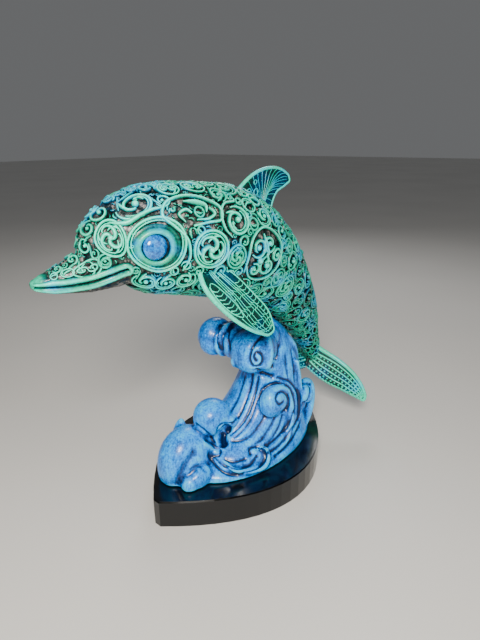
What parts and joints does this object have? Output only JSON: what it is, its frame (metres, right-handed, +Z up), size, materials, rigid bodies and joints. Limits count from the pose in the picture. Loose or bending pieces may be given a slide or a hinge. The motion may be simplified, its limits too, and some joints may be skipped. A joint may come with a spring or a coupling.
{
  "type": "dolphin statue",
  "caption": "Filigree dolphin statue leaping over a curling wave, on a low pointed oval plinth.",
  "frame": {"origin": "the middle of the plinth's underside, on the surface that the statue stands on", "axes": "+X from the dolphin's snout towards its flukes along the plinth, +Y towards the dolphin's right side, +Z up"},
  "size_m": [0.2335, 0.1078, 0.2149],
  "materials": {
    "verdigris_paint": "cast resin, painted dark and dry brushed with turquoise and mint",
    "sea_blue_paint": "cast resin, brushed in several blues, satin",
    "black_gloss": "gloss black lacquer",
    "blue_stone": "polished mottled blue stone"
  },
  "bodies": {
    "root": {"dolphin": "verdigris_paint", "left_eye": "blue_stone", "right_eye": "blue_stone", "wave": "sea_blue_paint", "plinth": "black_gloss"}
  },
  "joints": []
}
